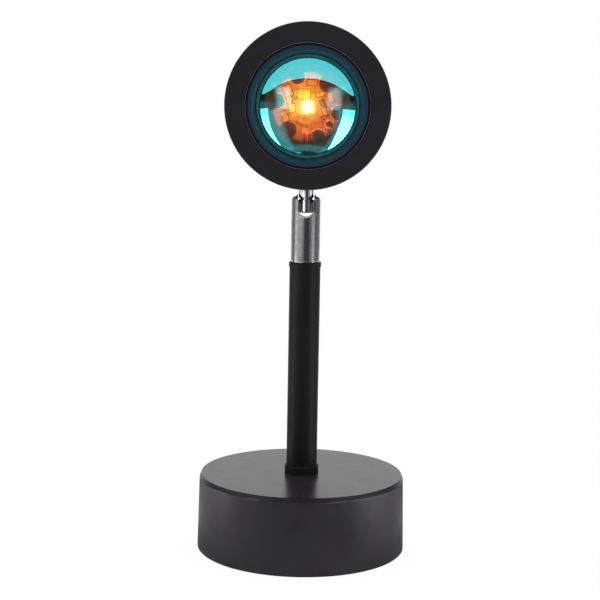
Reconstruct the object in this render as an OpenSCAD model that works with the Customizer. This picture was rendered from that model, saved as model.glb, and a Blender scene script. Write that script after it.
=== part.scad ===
// Sunset projection lamp: round weighted base, slim stem, slotted swivel and a lens head.
// The origin is the centre of the base's underside. +Z is up and the lens looks towards -Y.

/* [Base] */
// Outer diameter of the base at its foot
base_d = 95; // [86:1:110]
// Height of the base's flat top above the table
base_h = 35; // [32:0.1:42]
// How much smaller the radius is at the top than at the foot
base_draft = 0.8; // [0:0.1:2]
// Width of the bevel round the top edge
base_chamfer = 0.8; // [0.5:0.1:3]
// Height of the bevel round the top edge
base_chamfer_h = 2; // [0.8:0.1:3]
// Thickness of the base shell's side wall
shell_wall = 1.6; // [1.2:0.1:2.5]
// Thickness of the base shell's top
shell_top = 2.2; // [1.6:0.1:3]
// How far the foot pad stands below the shell
pad_proud = 0.5; // [0.3:0.1:1]
// Thickness of the foot pad
pad_t = 1.5; // [1.2:0.1:2.5]
// Thickness of the closing plate above the pad
plate_t = 2; // [1.8:0.1:3]
// Diameter of the ballast disc
weight_d = 64; // [50:1:66]
// Height of the ballast disc
weight_h = 18; // [10:0.5:18]
// Height of the cable inlet's axis above the table
inlet_h = 11; // [9.5:0.5:14]
// Diameter of the cable that the inlet is made for
cable_d = 3.6; // [2.5:0.1:4.5]

/* [Stem] */
// Outer diameter of the stem tube
tube_d = 14; // [13.4:0.1:16]
// Wall of the stem tube
tube_wall = 1.2; // [1:0.1:1.4]
// Length of the stem tube
tube_len = 93.8; // [70:0.1:140]
// Wall of the collar that the tube stands in
foot_collar_wall = 0.75; // [0.5:0.05:3]
// Height of the collar that stands on the base
foot_collar_h = 3.7; // [2.5:0.1:8]
// How far the collar at the top of the stem stands out past the tube
top_collar_lip = 0.3; // [0.3:0.1:2]
// Height of the collar above the end of the tube
top_collar_h = 2.5; // [2:0.1:6]
// Diameter of the hollow threaded rod
nipple_d = 10; // [9:0.5:10]

/* [Swivel] */
// Outer diameter of the swivel sleeve
sleeve_d = 13; // [12:0.1:14]
// Height of the tilt pin above the stem's top collar
pin_rise = 24.4; // [20:0.1:40]
// Diameter of the tilt pin
pin_d = 2.5; // [2:0.1:3]
// How much wider the slot is than the knuckle in it
slot_play = 0.36; // [0.3:0.02:0.7]
// Diameter of the spigot that turns in the stem's collar
spigot_d = 8; // [7:0.1:8.4]
// Diameter of the neck
neck_d = 6.7; // [6.4:0.1:7]
// Distance from the tilt pin up to the underside of the housing
neck_reach = 9.4; // [9:0.1:24]
// Radial clearance of the parts that turn
running_gap = 0.05; // [0.02:0.01:0.08]

/* [Head] */
// How far the front bezel stands out past the housing
bezel_lip = 0.5; // [0.2:0.1:2]
// Thickness of the bezel's front ring
bezel_t = 3; // [2.5:0.1:5]
// Diameter of the bezel's opening
window_d = 53.7; // [52:0.1:54]
// Outer diameter of the housing
housing_d = 70.4; // [70:0.1:72]
// Wall of the housing
housing_wall = 2.6; // [2.2:0.1:2.8]
// Distance from the neck's axis forward to the bezel's face
face_reach = 28; // [27.6:0.1:34]
// Distance from the neck's axis back to the rear face
rear_reach = 22; // [21:0.5:30]
// Number of cooling grooves round the housing
groove_count = 5; // [3:1:5]

/* [Optics] */
// Radius of the lens dome
lens_dome_r = 28.6; // [26:0.1:32]
// Diameter of the dome where it meets the flange
lens_dome_d = 47.4; // [44:0.1:49]
// How far the lens flange reaches under the bezel
lens_overlap = 1.3; // [1:0.1:1.5]
// Thickness of the lens flange
lens_flange_t = 2.6; // [2:0.1:3]
// Thickness of the gasket in front of the flange
gasket_t = 0.6; // [0.4:0.1:1]
// Air gap between the lens and the LED board
lens_gap = 9.6; // [9.2:0.1:10.7]
// Diameter of the LED board
board_d = 20; // [19:0.5:21]

/* [Hidden] */
$fn = 96;
// Overlap that keeps a cut from ending on a face
over = 1;

// Base, from the table up
plate_z = pad_t;
plate_top = plate_z + plate_t;
roof_z = base_h - shell_top;
plate_r = shell_inner_r(plate_top) - 0.3;
pad_r = plate_r - 0.5;
post_r = 3.6;
post_ring_r = plate_r - 5.6;
post_count = 4;
screw_r = 1.5;
screw_head_r = 2.8;
screw_head_t = 1.6;
plate_screw_length = 9;
weight_bore_r = 12;
weight_bevel = 1;
inlet_hole_r = cable_d / 2 + 1.7;
inlet_flange_r = inlet_hole_r + 1.5;

// Stem
tube_r = tube_d / 2;
tube_bore_r = tube_r - tube_wall;
foot_collar_r = tube_r + foot_collar_wall;
top_collar_r = tube_r + top_collar_lip;
collar_floor = 1;
tube_z = base_h + collar_floor;
tube_top = tube_z + tube_len;
nipple_r = nipple_d / 2;
nipple_reach = 11;
nut_t = 4;
nut_af = 16;
washer_t = 1.2;
insert_h = 12;
collar_plug_h = 11.4;

// Swivel
sleeve_r = sleeve_d / 2;
sleeve_z = tube_top + top_collar_h + 0.1;
pin_z = sleeve_z + pin_rise;
pin_r = pin_d / 2;
spigot_r = spigot_d / 2;
slot_floor_z = pin_z - 4.4;
shoulder_h = 2.7;
sleeve_top = pin_z + 6;
sleeve_bevel_h = 1.1;
wire_bore_r = 2.4;
wave_t = 0.6;
clip_t = 0.9;
clip_z = tube_top - collar_plug_h - wave_t - clip_t;
clip_groove_r = spigot_r - 0.6;
spigot_end_z = clip_z - 2;

// Neck
neck_r = neck_d / 2;
knuckle_r = neck_r + 0.15;
knuckle_low = pin_z - 2.3;
knuckle_top = pin_z + 3.6;
heel_r = norm([knuckle_r, pin_z - knuckle_low]) + 0.4;
knuckle_flat = knuckle_r - 0.2;
slot_w = 2 * knuckle_r + slot_play;
sleeve_mouth_r = slot_w / 2 + 0.25;
sleeve_bevel_r = sleeve_mouth_r + 0.8;
knuckle_groove_h = 0.6;
neck_bore_r = 1.6;
neck_thread_r = neck_r - 0.35;

// Head, measured forward from the neck's axis
housing_r = housing_d / 2;
head_z = pin_z + neck_reach + housing_r;
housing_bore_r = housing_r - housing_wall;
bezel_r = housing_r + bezel_lip;
lens_rim = 2.15;
gasket_lip = 1;
gasket_inner_r = max(window_d / 2 - gasket_lip, lens_dome_d / 2 + lens_rim);
lens_flange_r = gasket_inner_r + gasket_lip + lens_overlap;
bezel_back = face_reach - bezel_t;
gasket_front = bezel_back;
flange_front = gasket_front - gasket_t;
lens_back = flange_front - lens_flange_t;
board_front = lens_back - lens_gap;
board_t = 1.6;
board_back = board_front - board_t;
sink_flange_t = 1.5;
ledge_t = 1.5;
ledge_front = board_back - sink_flange_t;
ledge_r = housing_bore_r - 6;
ledge_screw_ring_r = ledge_r + 2.6;
sink_core_r = ledge_r - 3;
sink_r = housing_bore_r - 0.6;
sink_core_t = 5;
fin_h = 9;
fin_t = 1.6;
fin_pitch = 5.4;
fin_side = floor((sink_core_r - fin_t) / fin_pitch);
sink_back = ledge_front - sink_core_t - fin_h;
cover_t = 2.4;
cover_front = cover_t - rear_reach;
post_depth = 10;
cover_screw_length = 8;
cover_screw_ring_r = housing_bore_r - 3;
boss_r = neck_r + 0.2;
boss_low = head_z - housing_r - 1.4;
nut_pad_z = head_z - housing_bore_r + 1.4;
neck_nut_t = 2.5;
neck_nut_af = 10;
neck_washer_t = 0.6;
neck_washer_r = 5.4;
neck_room_r = neck_washer_r + 0.4;
neck_end_z = nut_pad_z + neck_washer_t + neck_nut_t + 0.3;
neck_room_h = neck_end_z - nut_pad_z + 3;
groove_w = 2;
groove_pitch = 4;
groove_depth = 1.2;
skirt_r = housing_bore_r - 0.02;
lens_play = 0.2;
skirt_inner_r = lens_flange_r + lens_play;
skirt_back = lens_back - 3;
cone_r = skirt_inner_r - lens_play;
cone_mouth_r = lens_flange_r - 2;
cone_throat_r = board_d / 2 + 2.8;
notch_angles = [for (i = [0:5]) 60 * i - 10];
notch_r = 2.2;
notch_ring_r = board_d / 2 - 0.9;
board_screw_r = 0.8;
board_screw_head_r = 2.6;
board_screw_length = 5;
wire_hole_y = -board_d / 2 - 1.6;
lead_r = 0.6;
lead_bend = 1.6;
lead_x = lead_r + 0.2;
lead_rise = 2;
lead_back_gap = 1.5;
pad_h = 0.35;

// Radius of the base shell's outside at height z
function shell_r(z) = base_d / 2 - base_draft * (z - pad_proud) / (base_h - pad_proud);
// Radius of its inside at height z
function shell_inner_r(z) = shell_r(z) - shell_wall;
// Points of an arc about c, from angle a to angle b in n steps
function arc(c, r, a, b, n) = [for (i = [0:n]) c + r * [cos(a + (b - a) * i / n), sin(a + (b - a) * i / n)]];

// Round plate or tube that stands on the current origin
module ring(outer_r, inner_r, h) {
  difference() {
    cylinder(r = outer_r, h = h);
    translate([0, 0, -over]) cylinder(r = inner_r, h = h + 2 * over);
  }
}

// Hexagonal nut of a given width across flats
module hex_nut(across, hole_r, h) {
  difference() {
    cylinder(r = across / sqrt(3), h = h, $fn = 6);
    translate([0, 0, -over]) cylinder(r = hole_r, h = h + 2 * over);
  }
}

// Copies spread evenly round a circle
module around(count, radius, first = 0) {
  for (i = [0:count - 1]) rotate(first + 360 * i / count) translate([radius, 0, 0]) children();
}

// Places head pieces: their z runs forward along the lens axis and their y runs up
module on_head() {
  translate([0, 0, head_z]) rotate([90, 0, 0]) children();
}

// Countersunk screw whose flat head lies on the current origin, point upward
module flat_screw(length) {
  difference() {
    union() {
      cylinder(r1 = screw_head_r, r2 = screw_r, h = screw_head_t);
      cylinder(r = screw_r, h = length);
    }
    translate([0, 0, -over]) cylinder(r = 1.1, h = over + 0.9, $fn = 6);
  }
}

// Pan-head screw whose head stands on the current origin, point along -z
module pan_screw(shank_r, head_r, head_h, length) {
  difference() {
    union() {
      translate([0, 0, -length]) cylinder(r = shank_r, h = length + head_h / 2);
      rotate_extrude() polygon(concat([[0, 0], [head_r, 0]], arc([head_r - head_h * 0.6, head_h * 0.4],
        head_h * 0.6, 0, 90, 5), [[0, head_h]]));
    }
    translate([0, 0, head_h * 0.45]) cross_recess(head_r * 0.55, head_h);
  }
}

// Recess for a cross driver
module cross_recess(reach, h) {
  for (a = [0, 90]) rotate(a) translate([-reach, -reach * 0.18, 0]) cube([2 * reach, reach * 0.36, h]);
}

// ---- Base ----

module foot_pad() color("#1c1c1e") ring(pad_r, 6, pad_t);

module base_plate() color("#8d8f92") difference() {
  translate([0, 0, plate_z]) ring(plate_r, 5, plate_t);
  around(post_count, post_ring_r, 45) {
    translate([0, 0, plate_z]) cylinder(r1 = screw_head_r, r2 = screw_r, h = screw_head_t);
    translate([0, 0, plate_z]) cylinder(r = screw_r, h = plate_t + over);
  }
}

module base_plate_screws() color("#a8aaad")
  around(post_count, post_ring_r, 45) translate([0, 0, plate_z]) flat_screw(plate_screw_length);

module base_weight() color("#6a6c70") difference() {
  translate([0, 0, plate_top]) rotate_extrude() polygon([
    [weight_bore_r, 0], [weight_d / 2, 0], [weight_d / 2, weight_h - weight_bevel],
    [weight_d / 2 - weight_bevel, weight_h], [weight_bore_r, weight_h]
  ]);
  // Channel that lets the cable cross the ballast's top
  translate([-cable_d, 0, plate_top + weight_h - 2 * cable_d]) cube([2 * cable_d, weight_d, 3 * cable_d]);
}

module base_shell() color("#3a3a3d") difference() {
  union() {
    rotate_extrude() polygon([
      [shell_inner_r(pad_proud), pad_proud], [shell_r(pad_proud) - 0.3, pad_proud],
      [shell_r(pad_proud + 0.3), pad_proud + 0.3],
      [shell_r(base_h - base_chamfer_h), base_h - base_chamfer_h],
      [shell_r(base_h) - base_chamfer, base_h], [0, base_h], [0, roof_z],
      [shell_inner_r(roof_z) - 1, roof_z], [shell_inner_r(roof_z - 1), roof_z - 1]
    ]);
    around(post_count, post_ring_r, 45)
      translate([0, 0, plate_top]) cylinder(r = post_r, h = base_h - shell_top / 2 - plate_top);
  }
  around(post_count, post_ring_r, 45) translate([0, 0, plate_top - over]) cylinder(r = screw_r, h = plate_screw_length + 1 + over);
  translate([0, 0, roof_z - over]) cylinder(r = nipple_r, h = shell_top + 2 * over);
  translate([0, shell_inner_r(inlet_h) - 3, inlet_h]) rotate([-90, 0, 0])
    cylinder(r = inlet_hole_r, h = shell_wall + 6);
}

module cable_grommet() color("#222224")
  translate([0, shell_r(inlet_h), inlet_h]) rotate([-90, 0, 0]) rotate_extrude() polygon(concat(
    [[cable_d / 2, -shell_wall - 1.7], [inlet_flange_r, -shell_wall - 1.7],
     [inlet_flange_r, -shell_wall - 0.4], [inlet_hole_r, -shell_wall - 0.4], [inlet_hole_r, 0.15]],
    arc([inlet_flange_r - 0.8, 0.95], 0.8, -90, 90, 6),
    [[cable_d / 2, 1.75]]));

// ---- Stem ----

module foot_collar() color("#242427") translate([0, 0, base_h]) rotate_extrude() polygon([
  [nipple_r, 0], [foot_collar_r, 0], [foot_collar_r, foot_collar_h - 0.3],
  [foot_collar_r - 0.3, foot_collar_h], [tube_r, foot_collar_h], [tube_r, collar_floor],
  [nipple_r, collar_floor]
]);

module threaded_nipple() color("#c9a24a")
  translate([0, 0, base_h - nipple_reach]) ring(nipple_r, nipple_r - 1.4, 2 * nipple_reach);

module lock_washer() color("#a8aaad")
  translate([0, 0, roof_z - washer_t]) ring(nut_af / 2 + 1, nipple_r, washer_t);

module lock_nut() color("#b4b6b8")
  translate([0, 0, roof_z - washer_t - nut_t]) hex_nut(nut_af, nipple_r, nut_t);

module tube_insert() color("#c9a24a") translate([0, 0, tube_z]) ring(tube_bore_r, nipple_r, insert_h);

module stem_tube() color("#242427") translate([0, 0, tube_z]) ring(tube_r, tube_bore_r, tube_len);

module top_collar() color("#1e1e20") rotate_extrude() polygon(concat(
  [[spigot_r + running_gap, tube_top - collar_plug_h], [tube_bore_r - 0.4, tube_top - collar_plug_h],
   [tube_bore_r, tube_top - collar_plug_h + 0.4], [tube_bore_r, tube_top],
   [top_collar_r - 0.25, tube_top], [top_collar_r, tube_top + 0.4]],
  arc([top_collar_r - 0.4, tube_top + top_collar_h - 0.4], 0.4, 0, 90, 4),
  [[spigot_r + running_gap, tube_top + top_collar_h]]));

// ---- Swivel ----

module swivel_sleeve() color("#9a9ca0") difference() {
  rotate_extrude() polygon(concat(
    [[wire_bore_r, spigot_end_z], [spigot_r - 0.5, spigot_end_z], [spigot_r, spigot_end_z + 0.5],
     [spigot_r, clip_z], [clip_groove_r, clip_z], [clip_groove_r, clip_z + clip_t],
     [spigot_r, clip_z + clip_t], [spigot_r, sleeve_z], [sleeve_r - 0.25, sleeve_z],
     [sleeve_r, sleeve_z + 0.25]],
    [for (a = [0:9:90]) [sleeve_bevel_r + (sleeve_r - sleeve_bevel_r) * cos(a),
      sleeve_top - sleeve_bevel_h - (shoulder_h - sleeve_bevel_h) * (1 - sin(a))]],
    [[sleeve_mouth_r, sleeve_top], [0, sleeve_top], [0, slot_floor_z - 1], [wire_bore_r, slot_floor_z - 1]]));
  // Slot with a round floor, open to the front and the back
  translate([-slot_w / 2, -sleeve_d, slot_floor_z + slot_w / 2]) cube([slot_w, 2 * sleeve_d, 20]);
  translate([0, sleeve_d, slot_floor_z + slot_w / 2]) rotate([90, 0, 0]) cylinder(d = slot_w, h = 2 * sleeve_d);
  // Room for the knuckle's heel as the neck folds
  translate([-slot_w / 2, 0, pin_z]) rotate([0, 90, 0]) cylinder(r = heel_r, h = slot_w);
  translate([-sleeve_d, 0, pin_z]) rotate([0, 90, 0]) cylinder(r = pin_r, h = 2 * sleeve_d);
  translate([0, 0, slot_floor_z - 2]) cylinder(r = wire_bore_r, h = 4);
}

module wave_washer() color("#b9bbbd")
  translate([0, 0, tube_top - collar_plug_h - wave_t]) ring(tube_bore_r - 0.4, spigot_r, wave_t);

module retaining_ring() color("#2b2b2d") translate([0, 0, clip_z]) difference() {
  ring(tube_bore_r - 0.5, clip_groove_r, clip_t);
  translate([0, -2, -over]) cube([sleeve_d, 4, clip_t + 2 * over]);
}

module friction_washers() color("#d8d8d4") for (side = [-1, 1])
  translate([side * (knuckle_flat + slot_w / 2 + running_gap) / 2, 0, pin_z]) rotate([0, 90, 0])
    translate([0, 0, -(slot_w / 2 - knuckle_flat - running_gap) / 2])
      ring(3, pin_r, slot_w / 2 - knuckle_flat - running_gap);

module tilt_pin() color("#c4c6c8") translate([0, 0, pin_z]) rotate([0, 90, 0])
  translate([0, 0, -pin_half_length()]) rotate_extrude() polygon([
    [0, 0], [pin_r - 0.3, 0], [pin_r, 0.3], [pin_r, 2 * pin_half_length() - 0.3],
    [pin_r - 0.3, 2 * pin_half_length()], [0, 2 * pin_half_length()]
  ]);

// Half the pin's length, so that its ends lie just inside the round sleeve
function pin_half_length() = sqrt(sleeve_r * sleeve_r - pin_r * pin_r);

// ---- Neck ----

module neck_stud() color("#c8cacc") difference() {
  rotate_extrude() polygon(concat(
    [[0, knuckle_low], [knuckle_r - 0.5, knuckle_low], [knuckle_r, knuckle_low + 0.5],
     [knuckle_r, knuckle_top - 0.3], [knuckle_r - 0.3, knuckle_top], [neck_r - 0.6, knuckle_top],
     [neck_r - 0.6, knuckle_top + knuckle_groove_h]],
    arc([neck_r - 0.5, knuckle_top + knuckle_groove_h + 0.5], 0.5, -90, 0, 4),
    [[neck_r, boss_low], [neck_thread_r, boss_low], [neck_thread_r, neck_end_z], [0, neck_end_z]]));
  translate([0, 0, knuckle_low - over]) cylinder(r = neck_bore_r, h = neck_end_z - knuckle_low + 2 * over);
  // Flats that the friction washers bear on
  for (side = [-1, 1]) translate([side * knuckle_flat, 0, pin_z]) rotate([0, side * 90, 0])
    cylinder(r = 3.1, h = 2);
  translate([-sleeve_d, 0, pin_z]) rotate([0, 90, 0]) cylinder(r = pin_r + running_gap, h = 2 * sleeve_d);
}

module neck_washer() color("#a8aaad") translate([0, 0, nut_pad_z]) ring(neck_washer_r, neck_thread_r, neck_washer_t);

module neck_nut() color("#b4b6b8") translate([0, 0, nut_pad_z + neck_washer_t])
  hex_nut(neck_nut_af, neck_thread_r, neck_nut_t);

// ---- Head ----

module head_housing() color("#252528") difference() {
  union() {
    on_head() rotate_extrude() polygon(concat(
      [[housing_bore_r, cover_front], [housing_r - 0.5, cover_front], [housing_r, cover_front + 0.5]],
      [for (i = [0:groove_count - 1], p = [[0, 0], [groove_depth, 0], [groove_depth, groove_w], [0, groove_w]])
        [housing_r - p[0], cover_front + 3 + groove_pitch * i + p[1]]],
      [[housing_r, bezel_back], [housing_bore_r, bezel_back], [housing_bore_r, ledge_front],
       [ledge_r, ledge_front], [ledge_r, ledge_front - ledge_t], [housing_bore_r, ledge_front - ledge_t]]));
    // Boss that the neck seats on, with a flat pad inside for its washer
    translate([0, 0, boss_low]) cylinder(r = boss_r, h = nut_pad_z - boss_low);
    intersection() {
      translate([0, 0, boss_low + 1.4]) cylinder(r = 6.4, h = nut_pad_z - boss_low - 1.4);
      on_head() translate([0, 0, -20]) cylinder(r = housing_r - 1, h = 40);
    }
    // Posts for the rear cover's screws
    on_head() intersection() {
      around(3, housing_bore_r - 2.2, 90) translate([0, 0, cover_front + 2]) cylinder(r = 3.2, h = post_depth);
      translate([0, 0, cover_front]) cylinder(r = housing_r - 1.5, h = post_depth + 4);
    }
  }
  translate([0, 0, boss_low - over]) cylinder(r = neck_thread_r, h = nut_pad_z - boss_low + 2 * over);
  on_head() around(3, cover_screw_ring_r, 90) translate([0, 0, cover_front + 1]) cylinder(r = 1.25, h = cover_screw_length);
  on_head() around(3, ledge_screw_ring_r, 90) translate([0, 0, ledge_front - ledge_t - over - 2])
    cylinder(r = 1.25, h = ledge_t + 2 * over + 2);
  neck_room();
}

module heat_sink() color("#b9bcc0") on_head() difference() {
  union() {
    translate([0, 0, ledge_front]) cylinder(r = sink_r, h = sink_flange_t);
    translate([0, 0, ledge_front - sink_core_t]) cylinder(r = sink_core_r, h = sink_core_t + sink_flange_t / 2);
    // Straight cooling fins behind the core
    intersection() {
      for (i = [-fin_side:fin_side]) translate([i * fin_pitch - fin_t / 2, -sink_core_r, sink_back])
        cube([fin_t, 2 * sink_core_r, fin_h + over]);
      translate([0, 0, sink_back]) cylinder(r = sink_core_r, h = fin_h + over);
    }
  }
  around(3, ledge_screw_ring_r, 90) translate([0, 0, ledge_front - over]) cylinder(r = 1.25, h = sink_flange_t + 2 * over);
  translate([0, wire_hole_y, sink_back - over]) cylinder(r = 2 * lead_r + 0.8, h = board_back - sink_back + 2 * over);
  for (i = screw_notches()) rotate(notch_angles[i])
    translate([notch_ring_r, 0, board_front - board_screw_length - 0.6])
      cylinder(r = board_screw_r, h = board_screw_length + over);
  neck_room();
}

// Room inside the head for the neck's washer and nut
module neck_room() translate([0, 0, nut_pad_z]) cylinder(r = neck_room_r, h = neck_room_h);

// Notches of the LED board that hold its screws
function screw_notches() = [1, 4];

module heat_sink_screws() color("#a8aaad") on_head() around(3, ledge_screw_ring_r, 90)
  translate([0, 0, board_back]) pan_screw(1.25, 2.1, 1.4, sink_flange_t + ledge_t + 1);

module led_board() color("#e8e4dc") on_head() translate([0, 0, board_back]) difference() {
  intersection() {
    cylinder(d = board_d, h = board_t);
    rotate(20) cylinder(r = board_d / 2 + 0.9, h = board_t, $fn = 6);
  }
  for (a = notch_angles) rotate(a) translate([notch_ring_r, 0, -over]) cylinder(r = notch_r, h = board_t + 2 * over);
}

module led_emitter() color("#ffd27a") on_head() translate([0, 0, board_front]) rotate(8) {
  difference() {
    translate([-1.75, -1.75, 0]) cube([3.5, 3.5, 0.9]);
    translate([0, 0, 0.6]) cylinder(r = 1.5, h = over);
  }
  translate([0, 0, 0.6]) cylinder(r = 1.5, h = 0.25);
}

// Pads and chip resistors on the LED board: x, y, width, height, turn and thickness
board_layout = [
  [-1.2, 3.8, 3.6, 2.6, 0, 0.7], [-6.0, 4.7, 2.2, 3.0, 20, 0.35], [-5.5, 1.9, 1.4, 1.8, 0, 0.35],
  [-4.7, -0.4, 1.7, 2.2, 10, 0.5], [-6.9, -2.9, 1.6, 2.8, 20, 0.35], [6.8, 2.9, 1.5, 2.6, 10, 0.35],
  [3.6, 3.8, 2.4, 1.0, 10, 0.55], [5.0, -1.2, 1.0, 2.0, 20, 0.55], [1.2, 7.2, 2.6, 1.4, 0, 0.35],
  [-lead_x, -board_d / 2 + 2, 1.1, 1.8, 0, pad_h], [lead_x, -board_d / 2 + 2, 1.1, 1.8, 0, pad_h]
];

module board_parts() color("#d9a441") on_head() for (p = board_layout)
  translate([p[0], p[1], board_front]) rotate(p[4]) translate([-p[2] / 2, -p[3] / 2, 0]) cube([p[2], p[3], p[5]]);

module board_screws() color("#2b2b2d") on_head() for (i = screw_notches()) rotate(notch_angles[i])
  translate([notch_ring_r, 0, board_front]) pan_screw(board_screw_r, board_screw_head_r, 1.1, board_screw_length);

// Two insulated leads, from the neck round the heat sink to the LED board
module led_leads() color("#8a2f25") for (side = [-1, 1]) on_head()
  translate([side * lead_x, 0, 0]) rotate([0, -90, 0]) {
    // In this plane x runs forward and y runs up
    low = neck_end_z - head_z - 1;
    turn = neck_end_z - head_z + lead_rise;
    back = sink_back - lead_back_gap;
    front = board_front + pad_h + lead_r;
    lead_run([0, low], [0, turn - lead_bend]);
    lead_elbow([-lead_bend, turn - lead_bend], 0);
    lead_run([-lead_bend, turn], [back + lead_bend, turn]);
    lead_elbow([back + lead_bend, turn + lead_bend], 180);
    lead_run([back, turn + lead_bend], [back, wire_hole_y - lead_bend]);
    lead_elbow([back + lead_bend, wire_hole_y - lead_bend], 90);
    lead_run([back + lead_bend, wire_hole_y], [front - lead_bend, wire_hole_y]);
    lead_elbow([front - lead_bend, wire_hole_y + lead_bend], 270);
    lead_run([front, wire_hole_y + lead_bend], [front, -board_d / 2 + 1.8]);
  }

// Straight stretch of lead between two points of its plane
module lead_run(a, b) {
  d = b - a;
  translate([a[0], a[1], 0]) rotate(atan2(d[1], d[0])) rotate([0, 90, 0]) cylinder(r = lead_r, h = norm(d), $fn = 24);
}

// Quarter bend of lead about a centre, starting at the given angle
module lead_elbow(centre, start) {
  translate([centre[0], centre[1], 0]) rotate(start) rotate_extrude(angle = 90) translate([lead_bend, 0])
    circle(r = lead_r, $fn = 24);
}

module light_cone() color("#1a1a1c") on_head() difference() {
  translate([0, 0, board_back]) cylinder(r = cone_r, h = lens_back - board_back);
  translate([0, 0, board_back + 1.2]) cylinder(r1 = cone_throat_r, r2 = cone_mouth_r, h = lens_back - board_back - 1.2);
  translate([0, 0, board_back - over]) cylinder(r = cone_throat_r, h = 2.3);
  translate([0, 0, lens_back - over]) cylinder(r = cone_mouth_r, h = 2 * over);
  around(3, ledge_screw_ring_r, 90) translate([0, 0, board_back - over]) cylinder(r = 2.4, h = 1.7 + over);
}

module lens() color([0.55, 0.85, 0.88, 0.5]) on_head() union() {
  translate([0, 0, lens_back]) cylinder(r = lens_flange_r, h = lens_flange_t);
  intersection() {
    translate([0, 0, flange_front - sqrt(pow(lens_dome_r, 2) - pow(lens_dome_d / 2, 2))]) sphere(r = lens_dome_r);
    translate([0, 0, lens_back + lens_flange_t / 2]) cylinder(d = lens_dome_d, h = 2 * lens_dome_r);
  }
}

module lens_gasket() color("#141416") on_head()
  translate([0, 0, flange_front]) ring(lens_flange_r, gasket_inner_r, gasket_t);

module front_bezel() color("#252528") on_head() rotate_extrude() polygon(concat(
  [[window_d / 2, bezel_back + 0.5], [window_d / 2, face_reach - 0.5], [window_d / 2 + 0.5, face_reach]],
  arc([bezel_r - 0.6, face_reach - 0.6], 0.6, 90, 0, 5),
  [[bezel_r, bezel_back + 0.3], [bezel_r - 0.3, bezel_back], [skirt_r, bezel_back],
   [skirt_r, skirt_back], [skirt_inner_r, skirt_back], [skirt_inner_r, bezel_back],
   [window_d / 2 + 0.5, bezel_back]]));

module rear_cover() color("#252528") on_head() difference() {
  union() {
    rotate_extrude() polygon([
      [0, -rear_reach + 1], [housing_r - 8, -rear_reach + 1], [housing_r - 9, -rear_reach],
      [housing_r - 0.8, -rear_reach], [housing_r, -rear_reach + 0.8], [housing_r, cover_front], [0, cover_front]
    ]);
    translate([0, 0, cover_front - over]) ring(housing_bore_r - 0.1, housing_bore_r - 1.9, 1 + over);
  }
  around(3, cover_screw_ring_r, 90) translate([0, 0, -rear_reach - over]) {
    cylinder(r = 1.25, h = cover_t + 3);
    cylinder(r = 2.5, h = 1 + over);
  }
}

module rear_cover_screws() color("#8d8f92") on_head() around(3, cover_screw_ring_r, 90)
  translate([0, 0, -rear_reach + 1]) mirror([0, 0, 1]) pan_screw(1.25, 2.2, 1.2, cover_screw_length);

foot_pad();
base_plate();
base_plate_screws();
base_weight();
base_shell();
cable_grommet();
foot_collar();
threaded_nipple();
lock_washer();
lock_nut();
tube_insert();
stem_tube();
top_collar();
swivel_sleeve();
wave_washer();
retaining_ring();
friction_washers();
tilt_pin();
neck_stud();
neck_washer();
neck_nut();
head_housing();
heat_sink();
heat_sink_screws();
led_board();
led_emitter();
board_parts();
board_screws();
led_leads();
light_cone();
lens();
lens_gasket();
front_bezel();
rear_cover();
rear_cover_screws();
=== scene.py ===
import math

import bpy
import numpy as np
from mathutils import Matrix, Vector


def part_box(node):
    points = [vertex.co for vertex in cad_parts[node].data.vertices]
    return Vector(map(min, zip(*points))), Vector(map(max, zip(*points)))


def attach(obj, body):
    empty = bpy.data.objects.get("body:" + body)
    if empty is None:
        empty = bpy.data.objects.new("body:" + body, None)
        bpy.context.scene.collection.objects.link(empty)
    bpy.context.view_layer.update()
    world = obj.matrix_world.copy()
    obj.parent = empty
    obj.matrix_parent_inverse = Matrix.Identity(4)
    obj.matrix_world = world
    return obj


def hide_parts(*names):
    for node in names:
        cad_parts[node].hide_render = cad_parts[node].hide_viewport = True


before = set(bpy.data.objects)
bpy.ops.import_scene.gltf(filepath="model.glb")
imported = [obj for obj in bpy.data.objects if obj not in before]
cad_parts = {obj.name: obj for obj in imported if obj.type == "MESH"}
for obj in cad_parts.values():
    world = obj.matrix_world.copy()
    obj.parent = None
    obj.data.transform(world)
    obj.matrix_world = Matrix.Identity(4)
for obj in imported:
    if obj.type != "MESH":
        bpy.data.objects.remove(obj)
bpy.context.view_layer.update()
bench = bpy.context.scene

# ---- Foot pad ----
# A disc of black cellular rubber stuck under the closing plate. It is die cut from sheet, so its
# face has a fine open grain, and it keeps the lamp from sliding on a polished table.
mm = 0.001


def finish(name, **surface):
    """A named finish whose surface shader starts from plain values, such as Roughness or Metallic."""
    made = bpy.data.materials.new(name)
    made.use_nodes = True
    shader = made.node_tree.nodes["Principled BSDF"]
    for key, value in surface.items():
        shader.inputs[key.replace("_", " ")].default_value = value
    return made


def node(made, kind, **settings):
    """One node in a finish. A lower-case setting is the node's own, a capital one is an input, and A, B
    and C are its inputs in order. A value that comes out of another node is joined on."""
    new = made.node_tree.nodes.new("ShaderNode" + kind)
    for key, value in settings.items():
        if key[0].islower():
            setattr(new, key, value)
            continue
        socket = new.inputs["ABC".index(key)] if key in "ABC" else new.inputs[key.replace("_", " ")]
        if isinstance(value, bpy.types.NodeSocket):
            made.node_tree.links.new(value, socket)
        else:
            socket.default_value = value
    return new


def join(made, **inputs):
    """Joins outputs of nodes onto the named inputs of the finish's surface shader."""
    shader = made.node_tree.nodes["Principled BSDF"]
    for key, value in inputs.items():
        made.node_tree.links.new(value, shader.inputs[key.replace("_", " ")])


def where_on(made):
    """Where a point lies on the piece, in metres."""
    return node(made, "TexCoord").outputs["Object"]


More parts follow.
